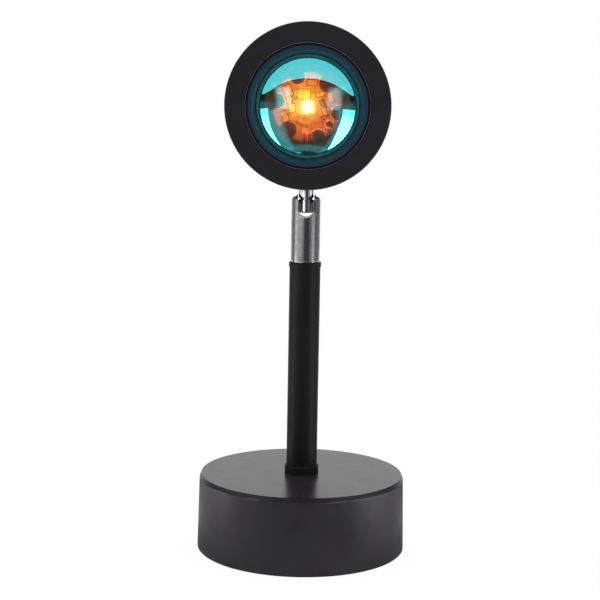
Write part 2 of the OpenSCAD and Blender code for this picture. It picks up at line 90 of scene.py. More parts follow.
def grain(made, size, squeeze=(1, 1, 1), detail=3.0, rough=0.55):
    """Cloudy noise from 0 to 1 with patches about size across, in metres. A factor under 1 in squeeze
    draws them out along that axis."""
    place = node(made, "Mapping", Vector=where_on(made), Scale=squeeze).outputs["Vector"]
    noise = node(made, "TexNoise", Vector=place, Scale=1 / size, Detail=detail, Roughness=rough)
    return noise.outputs["Fac"]


def between(made, amount, low, high, start=0.3, end=0.7):
    """Runs from low to high as amount goes from start to end."""
    ramp = node(made, "MapRange", Value=amount, From_Min=start, From_Max=end, To_Min=low, To_Max=high)
    return ramp.outputs["Result"]


def tint(made, amount, dark, pale, blend="MIX"):
    """Blend of two colours by an amount from 0 to 1. A colour is three numbers, or comes out of a node."""
    first, second = (c if isinstance(c, bpy.types.NodeSocket) else (*c, 1) for c in (dark, pale))
    return node(made, "MixRGB", blend_type=blend, Fac=amount, Color1=first, Color2=second).outputs["Color"]


def relief(made, height, depth, strength=1.0, under=None):
    """Fine relief of the given depth in metres, on top of any relief under it."""
    bump = node(made, "Bump", Height=height, Distance=depth, Strength=strength)
    if under is not None:
        made.node_tree.links.new(under, bump.inputs["Normal"])
    return bump.outputs["Normal"]


def moulded_rubber(name, colour, grain_size):
    """Matt rubber: colour clouded by half as much again, and a fine pebbled relief."""
    made = finish(name, Roughness=0.82, Specular_IOR_Level=0.35)
    pale = tuple(1.5 * c for c in colour)
    join(made, Base_Color=tint(made, between(made, grain(made, 3 * mm), 0, 1), colour, pale),
         Normal=relief(made, grain(made, grain_size), 0.03 * mm, 0.6))
    return made


def dress(name, made):
    """Gives a CAD piece its finish."""
    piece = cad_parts[name]
    piece.data.materials.clear()
    piece.data.materials.append(made)


dress("foot_pad", moulded_rubber("pad_rubber", (0.017, 0.017, 0.018), 0.35 * mm))

# ---- Closing plate and its screws ----
# A round plate of zinc plated sheet steel that shuts the base from below. Four countersunk screws
# hold it on posts inside the shell, and the plating shows a faint cloudy bloom.


def plated_steel(name, colour, roughness, bloom=4 * mm):
    """Plated metal: clouded colour and polish, with faint drawn scratches along x."""
    made = finish(name, Metallic=1.0)
    cloud = grain(made, bloom)
    drawn = grain(made, 0.25 * mm, squeeze=(0.05, 1, 1), detail=2)
    low = tuple(0.8 * c for c in colour)
    join(made, Base_Color=tint(made, between(made, cloud, 0, 1), low, colour),
         Roughness=between(made, cloud, roughness * 0.75, roughness * 1.3),
         Normal=relief(made, drawn, 0.006 * mm, 0.35))
    return made


zinc = plated_steel("zinc_plate", (0.62, 0.63, 0.65), 0.32)
for piece in ("base_plate", "base_plate_screws"):
    dress(piece, zinc)

# ---- Ballast ----
# A thick ring of grey cast iron laid on the closing plate. It is left as it comes from the sand, so
# it is rough and dark, and it keeps the head from tipping the lamp over.
iron = finish("sand_cast_iron", Metallic=0.6)
skin = grain(iron, 0.9 * mm, detail=6, rough=0.7)
scale = between(iron, grain(iron, 7 * mm), 0, 1)
join(iron, Base_Color=tint(iron, scale, (0.10, 0.095, 0.09), (0.2, 0.19, 0.185)),
     Roughness=between(iron, skin, 0.55, 0.8), Normal=relief(iron, skin, 0.12 * mm, 0.7))
dress("base_weight", iron)

# ---- Base shell ----
# A cup pressed from sheet steel, with a flat top and a narrow bevel where top and side meet. It is
# coated with satin dark grey powder, smoothest on the top. Its top and bevel are painted darker than
# the side as painted shade, and a painted highlight shows here and there where the bevel meets the side.


def calc(made, operation, *values):
    """One step of arithmetic on values that vary over the piece."""
    return node(made, "Math", operation=operation, **dict(zip("ABC", values))).outputs[0]


def line_at(made, distance, where, half, fade=0.1 * mm):
    """1 where the distance is within half of where, 0 further off."""
    off = calc(made, "ABSOLUTE", calc(made, "SUBTRACT", distance, where))
    return between(made, off, 1, 0, half, half + fade)


def joined(made, key):
    """What is joined so far onto an input of the finish's surface shader."""
    return made.node_tree.nodes["Principled BSDF"].inputs[key].links[0].from_socket


def powder_coat(name, colour, roughness, grain_size, depth, specular=0.5):
    """Baked powder paint: soft clouds in the colour, speckle of single grains, and a fine orange peel."""
    made = finish(name, Specular_IOR_Level=specular)
    cloud = grain(made, 16 * mm, detail=2)
    speck = grain(made, grain_size, detail=2, rough=0.4)
    low, high = tuple(0.86 * c for c in colour), tuple(1.14 * c for c in colour)
    mixed = calc(made, "MULTIPLY_ADD", cloud, 0.5, calc(made, "MULTIPLY", speck, 0.5))
    join(made, Base_Color=tint(made, between(made, mixed, 0, 1, 0.36, 0.64), low, high),
         Roughness=between(made, mixed, roughness - 0.04, roughness + 0.04, 0.36, 0.64),
         Normal=relief(made, speck, depth, 0.5))
    return made


shell_paint = powder_coat("base_powder", (0.042, 0.0405, 0.049), 0.4, 0.28 * mm, 0.009 * mm)
shell_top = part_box("base_shell")[1].z
bevel_foot = shell_top - 2 * mm
height = node(shell_paint, "SeparateXYZ", Vector=where_on(shell_paint)).outputs["Z"]
on_top = between(shell_paint, height, 0, 1, shell_top - 0.3 * mm, shell_top - 0.1 * mm)
on_side = between(shell_paint, height, 0, 1, bevel_foot + 0.1 * mm, bevel_foot - 0.1 * mm)
off_side = between(shell_paint, on_side, 1, 0, 0, 1)
smooth_top = between(shell_paint, grain(shell_paint, 9 * mm, detail=2), 0.23, 0.27)
rough_side = between(shell_paint, grain(shell_paint, 9 * mm), 0.37, 0.45)
side_or_bevel = between(shell_paint, on_side, 0.36, rough_side, 0, 1)
# Painted highlight: a pale grey line, broken into patches, where the bevel meets the side.
edge_line = line_at(shell_paint, height, bevel_foot - 0.05 * mm, 0.06 * mm, 0.14 * mm)
highlight_patches = between(shell_paint, grain(shell_paint, 17 * mm, detail=4), 0, 1, 0.48, 0.6)
painted_edge_highlight = calc(shell_paint, "MULTIPLY", edge_line, highlight_patches)
stains = between(shell_paint, grain(shell_paint, 22 * mm, detail=4), 0, 1, 0.45, 0.65)
stained = tint(shell_paint, stains, joined(shell_paint, "Base Color"), (1.0, 0.84, 0.86), "MULTIPLY")
# Painted shade: the top and bevel are painted darker than the side.
painted_top_shade = tint(shell_paint, off_side, stained, (0.62, 0.6, 0.62), "MULTIPLY")
join(shell_paint, Base_Color=tint(shell_paint, painted_edge_highlight, painted_top_shade, (0.2, 0.2, 0.2)),
     Roughness=between(shell_paint, on_top, side_or_bevel, smooth_top, 0, 1))
dress("base_shell", shell_paint)

# ---- Cable inlet ----
# A soft rubber grommet snapped into a round hole at the back of the shell, low down, with a lip on
# each side of the wall. The supply lead would pass through its bore.
dress("cable_grommet", moulded_rubber("grommet_rubber", (0.02, 0.02, 0.021), 0.2 * mm))

# ---- Foot collar, threaded rod, washer and nut ----
# A turned ring painted black seats the stem on the base. A hollow brass rod runs through it, and a
# plated washer and hexagonal nut pull it down from inside the shell.


def turned_brass(name, pitch):
    """Bare brass with fine rings round its axis, pitch apart along z. The bands of the wave texture lie
    0.314 over its scale apart."""
    made = finish(name, Metallic=1.0, Roughness=0.24)
    rings = node(made, "TexWave", wave_type="BANDS", bands_direction="Z", Vector=where_on(made),
                 Scale=0.314 / pitch, Distortion=0.4).outputs["Fac"]
    cloud = between(made, grain(made, 5 * mm), 0, 1)
    join(made, Base_Color=tint(made, cloud, (0.56, 0.40, 0.16), (0.78, 0.60, 0.28)),
         Normal=relief(made, rings, 0.03 * mm, 0.5))
    return made


stem_paint = powder_coat("stem_enamel", (0.017, 0.017, 0.018), 0.46, 0.22 * mm, 0.006 * mm, specular=0.13)
dress("foot_collar", stem_paint)
dress("threaded_nipple", turned_brass("rod_brass", 1.0 * mm))
dress("tube_insert", turned_brass("insert_brass", 0.4 * mm))
for piece in ("lock_washer", "lock_nut"):
    dress(piece, zinc)

# ---- Stem ----
# A straight steel tube with satin black enamel. Its foot stands in the collar on a threaded brass
# insert, and a turned black collar is pressed into its upper end as the bearing of the swivel.
for piece in ("stem_tube", "top_collar"):
    dress(piece, stem_paint)

# ---- Swivel sleeve and its retainers ----
# A nickel plated steel sleeve, tumbled to a satin skin. The slot milled across it and the bevel round
# its top are painted dark as painted shade, and the slot's rim and the rolled foot are polished. The
# rolled foot is also painted near white as a painted highlight. A spring washer and a blackened ring
# under the collar hold its spigot, so it turns with a firm drag.
slot_half = 3.68 * mm
slot_arc_depth = 6.72 * mm
top_bevel_h = 1.1 * mm
rolled_h = 0.55 * mm
edge_blur = 0.05 * mm
sleeve_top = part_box("swivel_sleeve")[1].z
slot_arc_z = sleeve_top - slot_arc_depth
rolled_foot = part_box("top_collar")[1].z
rolled_top = rolled_foot + rolled_h

nickel = finish("satin_nickel", Metallic=1.0)
blotch = grain(nickel, 1.5 * mm, squeeze=(1, 1, 0.55), detail=5, rough=0.65)
haze = grain(nickel, 0.22 * mm, squeeze=(1, 1, 0.5), detail=3)
satin = between(nickel, blotch, 0.4, 0.27, 0.34, 0.66)
blotched = between(nickel, blotch, 0, 1, 0.34, 0.66)
bare_nickel = tint(nickel, blotched, (0.26, 0.26, 0.275), (0.45, 0.45, 0.463))
tumbled = relief(nickel, haze, 0.004 * mm, 0.5, relief(nickel, blotch, 0.04 * mm, 0.7))
spot = node(nickel, "SeparateXYZ", Vector=where_on(nickel))
up = spot.outputs["Z"]
below_arc = calc(nickel, "MINIMUM", calc(nickel, "SUBTRACT", up, slot_arc_z), 0)
across = node(nickel, "CombineXYZ", X=spot.outputs["X"], Z=below_arc).outputs[0]
from_slot = node(nickel, "VectorMath", operation="LENGTH", A=across).outputs["Value"]
milled = between(nickel, from_slot, 1, 0, slot_half + 0.02 * mm, slot_half + 0.06 * mm)
past_rim = between(nickel, from_slot, 0, 1, slot_half + 0.5 * mm, slot_half + 0.6 * mm)
bevelled = between(nickel, up, 0, 1, sleeve_top - top_bevel_h - 0.15 * mm, sleeve_top - top_bevel_h)
foot_highlight = between(nickel, up, 1, 0, rolled_top, rolled_top + edge_blur)
past_foot = between(nickel, up, 0, 1, rolled_top, rolled_top + edge_blur)
rolled = between(nickel, up, 1, 0, rolled_foot, rolled_top)
# Painted highlight: the rolled foot is near white.
foot_highlighted = tint(nickel, foot_highlight, bare_nickel, (0.9, 0.9, 0.92))
# Painted shade: the slot and the top bevel are near black.
painted_shade = calc(nickel, "MAXIMUM", milled, bevelled)
left_satin = calc(nickel, "MULTIPLY", past_rim, past_foot)
join(nickel, Base_Color=tint(nickel, painted_shade, foot_highlighted, (0.05, 0.05, 0.052)),
     Roughness=between(nickel, left_satin, 0.12, satin, 0, 1),
     Normal=relief(nickel, rolled, 0.8 * mm, 1.0, tumbled))
dress("swivel_sleeve", nickel)
blackened = plated_steel("blackened_steel", (0.10, 0.10, 0.105), 0.38, bloom=2 * mm)
dress("wave_washer", plated_steel("spring_temper", (0.42, 0.40, 0.37), 0.3))
dress("retaining_ring", blackened)

# ---- Tilt pin and friction washers ----
# A polished pin crosses the slot and is pressed into both cheeks of the sleeve. Two thin washers of
# pale acetal fill the gaps beside the knuckle and give the tilt its drag.


def polished_chrome(name, low=0.035, high=0.11, colour=(0.84, 0.85, 0.87), smear=3 * mm):
    """Bright chrome whose polish is dulled a little in soft smears."""
    made = finish(name, Metallic=1.0)
    wiped = grain(made, smear, squeeze=(1, 1, 0.6), detail=3)
    join(made, Base_Color=tint(made, between(made, wiped, 0, 1), tuple(0.94 * c for c in colour), colour),
         Roughness=between(made, wiped, low, high),
         Normal=relief(made, grain(made, 1.2 * mm), 0.004 * mm, 0.3))
    return made


dress("tilt_pin", polished_chrome("pin_chrome"))
acetal = finish("acetal", Base_Color=(0.72, 0.71, 0.67, 1), Roughness=0.42)
join(acetal, Normal=relief(acetal, grain(acetal, 0.4 * mm), 0.01 * mm, 0.4))
dress("friction_washers", acetal)

# ---- Neck ----
# A chromed steel stud. Its lower end is the knuckle in the slot, a groove marks it off from the
# neck, and its threaded upper end takes a washer and nut inside the head.
dress("neck_stud", polished_chrome("neck_chrome", 0.13, 0.24))
for piece in ("neck_washer", "neck_nut"):
    dress(piece, zinc)

# ---- Housing, bezel and rear cover ----
# A drum cast in aluminium with cooling grooves round its back, closed by a screwed cover behind and
# by a ring screwed in at the front. All three have a dead matt black powder coat, which turns glossy
# at the edge of the ring's opening. The wall of the opening is painted pale blue-grey as painted light.
head_black = powder_coat("head_powder", (0.0235, 0.0215, 0.029), 0.6, 0.3 * mm, 0.014 * mm, specular=0.35)
for piece in ("head_housing", "rear_cover"):
    dress(piece, head_black)
bezel_low, bezel_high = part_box("front_bezel")
axis_z = (bezel_low.z + bezel_high.z) / 2
opening_r = 26.85 * mm


def from_axis(made, x=0.0, z=0.0):
    """Distance of a point from the lens axis, or from a line beside it, in metres."""
    flat = node(made, "VectorMath", operation="MULTIPLY", A=where_on(made), B=(1, 0, 1)).outputs["Vector"]
    return node(made, "VectorMath", operation="DISTANCE", A=flat, B=(x, 0, axis_z + z)).outputs["Value"]


bezel_black = head_black.copy()
bezel_black.name = "bezel_powder"
out_from_axis = from_axis(bezel_black)
# Painted light: the wall of the opening is pale blue-grey.
painted_lit_bore = between(bezel_black, out_from_axis, 1, 0, opening_r + 0.02 * mm, opening_r + 0.05 * mm)
join(bezel_black, Base_Color=tint(bezel_black, painted_lit_bore, joined(bezel_black, "Base Color"), (0.46, 0.5, 0.54)),
     Roughness=between(bezel_black, out_from_axis, 0.2, 0.6, opening_r + 0.35 * mm, opening_r + 0.65 * mm))
dress("front_bezel", bezel_black)
dress("rear_cover_screws", blackened)

# ---- Heat sink ----
# A flange and core with straight fins, cast in aluminium and left bare. Three plated screws hold it
# on the ledge inside the drum, and it carries the heat of the light source to the wall.
cast = finish("bare_cast_aluminium", Metallic=1.0)
pits = grain(cast, 0.5 * mm, detail=5)
cast_cloud = between(cast, grain(cast, 6 * mm), 0, 1)
join(cast, Base_Color=tint(cast, cast_cloud, (0.36, 0.36, 0.37), (0.5, 0.5, 0.51)),
     Roughness=between(cast, pits, 0.36, 0.52), Normal=relief(cast, pits, 0.03 * mm, 0.5))
dress("heat_sink", cast)
dress("heat_sink_screws", zinc)

# ---- Light source board ----
# A star-shaped board of white lacquered aluminium with six notches, screwed to the heat sink. The
# light of the small emitter in the middle on the board, its parts and screws is painted as their own
# glow, from yellow beside the emitter to brown outside.
glow_centre = (-1.0 * mm, 0.8 * mm)


def floodlit(name, stops, strength, roughness=0.45, colour=(0.8, 0.76, 0.7), marks=None):
    """Lacquer with the emitter's light on it painted as its own glow, which runs through the stops, each a
    distance in metres and a colour, under blotches of flux, dark marks and painted highlights."""
    made = finish(name, Roughness=roughness, Emission_Strength=strength)
    reach = stops[-1][0]
    ramp = node(made, "ValToRGB", Fac=calc(made, "DIVIDE", from_axis(made, *glow_centre), reach))
    while len(ramp.color_ramp.elements) < len(stops):
        ramp.color_ramp.elements.new(0.5)
    for element, (distance, glow) in zip(ramp.color_ramp.elements, stops):
        element.position = distance / reach
        element.color = (*glow, 1)
    flux = between(made, grain(made, 1.3 * mm, detail=5, rough=0.65), 0, 1, 0.36, 0.6)
    mottle = tint(made, flux, (0.62, 0.5, 0.42), (1.05, 1.05, 1.05))
    lit = tint(made, 1.0, ramp.outputs["Color"], mottle, "MULTIPLY")
    if marks:
        dark, pale = marks(made)
        lit = tint(made, dark, lit, (0.16, 0.06, 0.04), "MULTIPLY")
        # The pale marks are painted highlights, added to the glow.
        lit = tint(made, pale, lit, (0.34, 0.26, 0.13), "ADD")
    cloud = between(made, grain(made, 1.5 * mm), 0, 1)
    join(made, Emission_Color=lit, Normal=relief(made, grain(made, 0.5 * mm), 0.02 * mm, 0.4),
         Base_Color=tint(made, cloud, tuple(0.85 * c for c in colour), colour))
    return made


# Pads and resistors, then legs of small parts and cracks in the flux, as x, z, width, height and turn in
# degrees, then blobs of solder as x, z, radius and how dark their middle is, and the middles of the
# notches, all in millimetres from the lens axis
pads = [(-1.2, 3.8, 3.6, 2.6, 0), (-6.0, 4.7, 2.2, 3.0, 20), (-5.5, 1.9, 1.4, 1.8, 0),
        (-4.7, -0.4, 1.7, 2.2, 10), (-6.9, -2.9, 1.6, 2.8, 20), (6.8, 2.9, 1.5, 2.6, 10),
        (3.6, 3.8, 2.4, 1.0, 10), (5.0, -1.2, 1.0, 2.0, 20), (1.2, 7.2, 2.6, 1.4, 0)]
strokes = [(3.9, 3.15, 2.5, 0.4, 14), (2.6, 3.5, 0.35, 1.3, 20), (4.7, 2.4, 1.5, 0.35, 14),
           (4.9, 1.1, 0.5, 2.4, 28), (3.8, 1.2, 0.3, 1.7, 28), (6.0, 0.1, 1.9, 0.4, 18),
           (6.0, -2.4, 1.7, 0.4, 14), (6.6, -1.1, 0.45, 1.9, 12), (4.2, -3.0, 1.2, 0.3, -38),
           (5.1, -3.7, 1.1, 0.28, -35), (4.5, -4.5, 0.9, 0.26, -30), (-2.3, -4.9, 1.5, 0.3, -8),
           (-1.7, -5.5, 1.0, 0.28, -5), (-3.1, -4.5, 0.28, 0.8, 12), (-0.2, -5.5, 0.35, 1.1, 25)]
blobs = [(6.5, -4.9, 1.3, 0.9), (3.2, -7.4, 0.8, 0.8), (-0.9, -6.9, 0.55, 0.0),
         (-2.1, 6.5, 0.6, 0.0), (0.2, -8.0, 0.5, 0.7), (5.3, -6.6, 0.6, 0.7)]
notch_out = 9.1
notch_turns = [math.radians(turn) for turn in range(-10, 350, 60)]
notches = [(notch_out * math.cos(turn), notch_out * math.sin(turn)) for turn in notch_turns]
notch_r = 2.2 * mm
blob_wobble = 1.6 * mm


def past_edge(made, x, z, width, height, turn):
    """How far a point lies outside a turned oblong: the larger of its distances past the width and past
    the height, in metres."""
    middle, turned = (x * mm, 0, axis_z + z * mm), (0, -math.radians(turn), 0)
    local = node(made, "Mapping", vector_type="TEXTURE", Vector=where_on(made),
                 Location=middle, Rotation=turned)
    unsigned = node(made, "VectorMath", operation="ABSOLUTE", A=local.outputs["Vector"]).outputs["Vector"]
    part = node(made, "SeparateXYZ", Vector=unsigned)
    past_x = calc(made, "SUBTRACT", part.outputs["X"], width * mm / 2)
    past_z = calc(made, "SUBTRACT", part.outputs["Z"], height * mm / 2)
    return calc(made, "MAXIMUM", past_x, past_z)


def strongest(made, marks):
    """The largest of several marks, point by point."""
    total = marks[0]
    for mark in marks[1:]:
        total = calc(made, "MAXIMUM", total, mark)
    return total


def soldered(made):
    """Dark marks, which are the outlines of pads, the legs and cracks, specks and the blobs' middles, and
    painted highlights on the blobs' rims and the cut edges of the notches."""
    ragged = grain(made, 0.9 * mm, detail=2)
    dark_marks = [line_at(made, past_edge(made, *pad), 0.14 * mm, 0.12 * mm) for pad in pads]
    dark_marks += [between(made, past_edge(made, *stroke), 0.85, 0, 0, 0.1 * mm) for stroke in strokes]
    dark_marks.append(between(made, grain(made, 0.55 * mm, detail=2), 0, 1, 0.68, 0.72))
    painted_highlights = []
    for x, z in notches:
        cut = from_axis(made, x * mm, z * mm)
        painted_highlights.append(between(made, cut, 0.7, 0, notch_r + 0.1 * mm, notch_r + 0.3 * mm))
    for x, z, radius, dark in blobs:
        away = calc(made, "MULTIPLY_ADD", ragged, blob_wobble, from_axis(made, x * mm, z * mm))
        rim = radius * mm + blob_wobble / 2
        painted_highlights.append(line_at(made, away, rim, 0.1 * mm, 0.15 * mm))
        if dark:
            dark_marks.append(between(made, away, dark, 0, rim - 0.35 * mm, rim - 0.15 * mm))
    broken = between(made, ragged, 0.3, 1, 0.4, 0.6)
    return strongest(made, dark_marks), calc(made, "MULTIPLY", strongest(made, painted_highlights), broken)


# Painted light: glow colours of the emitter's light on the board, its parts and screws, by distance.
board_glow = [(0.0, (0.54, 0.8, 0.2)), (2.0 * mm, (0.54, 0.7, 0.11)), (2.9 * mm, (0.54, 0.66, 0.06)),
              (4.4 * mm, (0.5, 0.4, 0.03)), (6.6 * mm, (0.43, 0.2, 0.022)), (8.6 * mm, (0.34, 0.125, 0.024)),
              (10.2 * mm, (0.2, 0.07, 0.02)), (12.0 * mm, (0.05, 0.02, 0.01))]
pad_glow = [(distance, (min(1, 1.15 * red), min(1, 1.6 * green), min(1, 1.9 * blue)))
            for distance, (red, green, blue) in board_glow]
screw_glow = [(0, (0.5, 0.2, 0.05)), (9 * mm, (0.1, 0.04, 0.02)), (14 * mm, (0.05, 0.02, 0.01))]
dress("led_board", floodlit("board_lacquer", board_glow, 1.9, marks=soldered))
dress("board_parts", floodlit("pads_and_resistors", pad_glow, 2.4, 0.3, (0.85, 0.72, 0.45)))
dress("board_screws", floodlit("screw_black_oxide", screw_glow, 1.2, 0.35, (0.12, 0.115, 0.11)))

emitter = finish("phosphor", Base_Color=(1, 0.8, 0.3, 1), Roughness=0.5, Emission_Strength=3.4)
from_middle = between(emitter, from_axis(emitter), 0, 1, 1.2 * mm, 2.4 * mm)
join(emitter, Emission_Color=tint(emitter, from_middle, (1, 0.86, 0.62), (1, 0.66, 0.22)))
dress("led_emitter", emitter)

# ---- Leads ----
# Two thin stranded wires in red silicone come up through the neck, pass behind the heat sink and
# end on the lower pads of the board, where they are soldered.
# The emitter's light on the leads is painted as their own glow, fading with distance from it.
lead_glow = [(0, (0.6, 0.2, 0.05)), (8 * mm, (0.5, 0.18, 0.05)), (9.8 * mm, (0.3, 0.1, 0.04)),
             (11.5 * mm, (0.04, 0.01, 0.005)), (14 * mm, (0, 0, 0))]
dress("led_leads", floodlit("lead_silicone", lead_glow, 1.2, 0.38, (0.48, 0.05, 0.03)))

# ---- Light cone ----
# A moulded ring of black plastic between the board and the lens. Its funnel keeps stray light off
# the wall of the drum and holds the lens forward against the gasket.
cone = finish("cone_black", Roughness=0.7, Specular_IOR_Level=0.08)
cone_cloud = between(cone, grain(cone, 2 * mm), 0, 1)
join(cone, Base_Color=tint(cone, cone_cloud, (0.008, 0.0085, 0.009), (0.015, 0.0155, 0.016)),
     Normal=relief(cone, grain(cone, 0.3 * mm), 0.01 * mm, 0.4))
dress("light_cone", cone)

# ---- Lens ----
# One thick glass dome with a flat rim, ground flat behind. A thin film coat on it throws back the
# blue-green of white light and lets the rest through, which is what makes the disc of light orange.
lens_low, lens_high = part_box("lens")
rim_r = lens_high.x
lens_back = lens_high.y
dome_front = lens_low.y
dome_r = 28.6 * mm
dome_edge_r = 23.7 * mm
ground_r = 22.5 * mm
rim_t = 2.6 * mm
dome_foot = lens_back - rim_t
bead_out, bead_h = 0.1 * mm, 0.05 * mm
fillet = 0.35 * mm
flat = 0.1 * mm


def turned_about_axis(name, profile, finishes, steps=256):
    """A closed body of revolution about the lens axis. Each profile point is (radius, y); the first and
    the last lie on the axis. Points are the profile turned by equal angles, and finishes gives, for
    each step of the profile, which of the body's materials it takes."""
    ring = np.array(profile[1:-1], float)
    count = len(ring)
    turn = np.linspace(0, 2 * np.pi, steps, endpoint=False)
    grid = np.stack([np.outer(np.cos(turn), ring[:, 0]), np.tile(ring[:, 1], (steps, 1)),
                     axis_z + np.outer(np.sin(turn), ring[:, 0])], axis=-1).reshape(-1, 3)
    points = np.vstack([grid, [[0, profile[0][1], axis_z], [0, profile[-1][1], axis_z]]])
    i, j = np.meshgrid(np.arange(steps), np.arange(count - 1), indexing="ij")
    k = (i + 1) % steps
    sides = np.stack([i * count + j, i * count + j + 1, k * count + j + 1, k * count + j], axis=-1)
    sides = sides.reshape(-1, 4)
    i = np.arange(steps)
    k = (i + 1) % steps
    first = np.stack([np.full(steps, len(grid)), i * count, k * count], axis=-1)
    last = np.stack([np.full(steps, len(grid) + 1), (k + 1) * count - 1, (i + 1) * count - 1], axis=-1)
    mesh = bpy.data.meshes.new(name)
    mesh.from_pydata(points.tolist(), [], sides.tolist() + first.tolist() + last.tolist())
    which = np.concatenate([np.tile(finishes[1:-1], steps), np.repeat(finishes[[0, -1]], steps)])
    mesh.polygons.foreach_set("material_index", which.astype(np.int32))
    mesh.polygons.foreach_set("use_smooth", np.ones(len(mesh.polygons), bool))
    if mesh.polygons[len(sides)].normal.y > 0:
        mesh.flip_normals()
    mesh.update()
    body = bpy.data.objects.new(name, mesh)
    bench.collection.objects.link(body)
    return body


def arc(centre, radius, first, last, count):
    """Points of a circle about centre from the first angle to the last, in degrees."""
    a = np.radians(np.linspace(first, last, count))
    return np.stack([centre[0] + radius * np.cos(a), centre[1] + radius * np.sin(a)], axis=-1)


edge_angle = math.degrees(math.asin(dome_edge_r / dome_r))
dome = arc((0, dome_front + dome_r), dome_r, -90, -90 + edge_angle, 97)
dome[0, 0] = 0
lens_profile = np.vstack([dome, [[dome_edge_r + bead_out, dome_foot - bead_h]],
                          [[dome_edge_r + fillet, dome_foot]],
                          [[dome_edge_r + fillet + flat, dome_foot], [rim_r - fillet - flat, dome_foot]],
                          arc((rim_r - fillet, dome_foot + fillet), fillet, -90, 0, 6),
                          arc((rim_r - fillet, lens_back - fillet), fillet, 0, 90, 6),
                          [[rim_r - fillet - flat, lens_back], [0, lens_back]]])
on_dome, on_back, on_rim, on_ground = range(4)
dome_steps = len(dome) + 1
rim_steps = 3
finishes = np.full(len(lens_profile) - 1, on_back)
finishes[:dome_steps] = np.where(lens_profile[:dome_steps, 0] > ground_r, on_ground, on_dome)
finishes[dome_steps:dome_steps + rim_steps] = on_rim
lens = turned_about_axis("lens_glass", lens_profile, finishes)


def coated_glass(name, thrown_back, let_through, shaded, haze=0.0):
    """Glass whose film throws one colour back and lets another through, under the plain gloss of glass;
    shaded is the colour that a shadow behind it keeps."""
    made = bpy.data.materials.new(name)
    made.use_nodes = True
    made.node_tree.nodes.remove(made.node_tree.nodes["Principled BSDF"])
    mirror = node(made, "BsdfGlossy", Color=(*thrown_back, 1), Roughness=haze).outputs[0]
    clear = node(made, "BsdfRefraction", Color=(*let_through, 1), Roughness=0.0, IOR=1.47).outputs[0]
    film = node(made, "AddShader", A=mirror, B=clear).outputs[0]
    polish = node(made, "BsdfGlossy", Color=(1, 1, 1, 1), Roughness=0.0).outputs[0]
    at_a_slant = node(made, "Fresnel", IOR=1.47).outputs[0]
    glass = node(made, "MixShader", Fac=at_a_slant, B=film, C=polish).outputs[0]
    shade = node(made, "BsdfTransparent", Color=(*shaded, 1)).outputs[0]
    in_shadow = node(made, "LightPath").outputs["Is Shadow Ray"]
    chosen = node(made, "MixShader", Fac=in_shadow, B=glass, C=shade).outputs[0]
    made.node_tree.links.new(chosen, made.node_tree.nodes["Material Output"].inputs["Surface"])
    return made


behind_film = (0.22, 0.1, 0.09)
coats = [("coated_dome", (0.045, 0.57, 0.61), (0.95, 0.43, 0.38), behind_film),
         ("plain_back", (0, 0, 0), (1, 1, 1), (0.95, 0.95, 0.95)),
         ("coated_rim", (0.27, 0.54, 1.0), (0.5, 0.35, 0.2), behind_film),
         ("ground_foot", (0.18, 0.85, 0.9), (0.3, 0.15, 0.12), behind_film, 0.45)]
for coat in coats:
    lens.data.materials.append(coated_glass(*coat))
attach(lens, "head")
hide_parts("lens")

# ---- Gasket ----
# A flat ring of black rubber between the lens rim and the bezel, cut from sheet.
# It is squeezed by the bezel and keeps dust out of the head.
dress("lens_gasket", moulded_rubber("gasket_rubber", (0.012, 0.012, 0.013), 0.2 * mm))

# ---- The room: floor ----
# A sheet of pale paper. Gloss sees it dark in front, grey to both sides, white behind, and grey in a
# patch close round the foot, so that black paint and glass have something to show.
bpy.ops.mesh.primitive_plane_add(size=3.6, location=(0, 0, -0.0003))
floor = bpy.context.object
floor.name = "floor"
paper = finish("paper", Base_Color=(0.9, 0.9, 0.9, 1), Roughness=0.9)
ray = node(paper, "LightPath")
away = node(paper, "VectorMath", operation="LENGTH", A=where_on(paper)).outputs["Value"]
heading = node(paper, "VectorMath", operation="NORMALIZE", A=where_on(paper)).outputs["Vector"]
way = node(paper, "SeparateXYZ", Vector=heading)


def slope(made, value, first, last, low=0.0, high=1.0):
    """Smooth climb from low to high as the value goes from first to last."""
    return node(made, "MapRange", interpolation_type="SMOOTHSTEP", Value=value,
                From_Min=first, From_Max=last, To_Min=low, To_Max=high).outputs[0]


left_glow = slope(paper, way.outputs["X"], -0.84, -0.6, 0.36, 0.0)
right_glow = slope(paper, way.outputs["X"], 0.74, 0.88, 0.0, 0.26)
rear_glow = slope(paper, way.outputs["Y"], 0.1, 0.4, 0.0, 0.25)
aside = calc(paper, "ADD", calc(paper, "ADD", left_glow, right_glow), rear_glow)
far_off = slope(paper, away, 0.5, 1.4, 0.02, 0.07)
apart = calc(paper, "MULTIPLY_ADD", aside, slope(paper, away, 0.06, 0.1), far_off)
at_foot = slope(paper, away, 0.115, 0.085, 0.0, 0.22)
behind = calc(paper, "MULTIPLY", slope(paper, way.outputs["Y"], 0.5, 0.9), slope(paper, away, 0.1, 0.3))
mirrored = calc(paper, "MAXIMUM", calc(paper, "ADD", apart, at_foot), behind)
in_gloss = node(paper, "Emission", Color=(1, 1, 1, 1), Strength=mirrored).outputs[0]

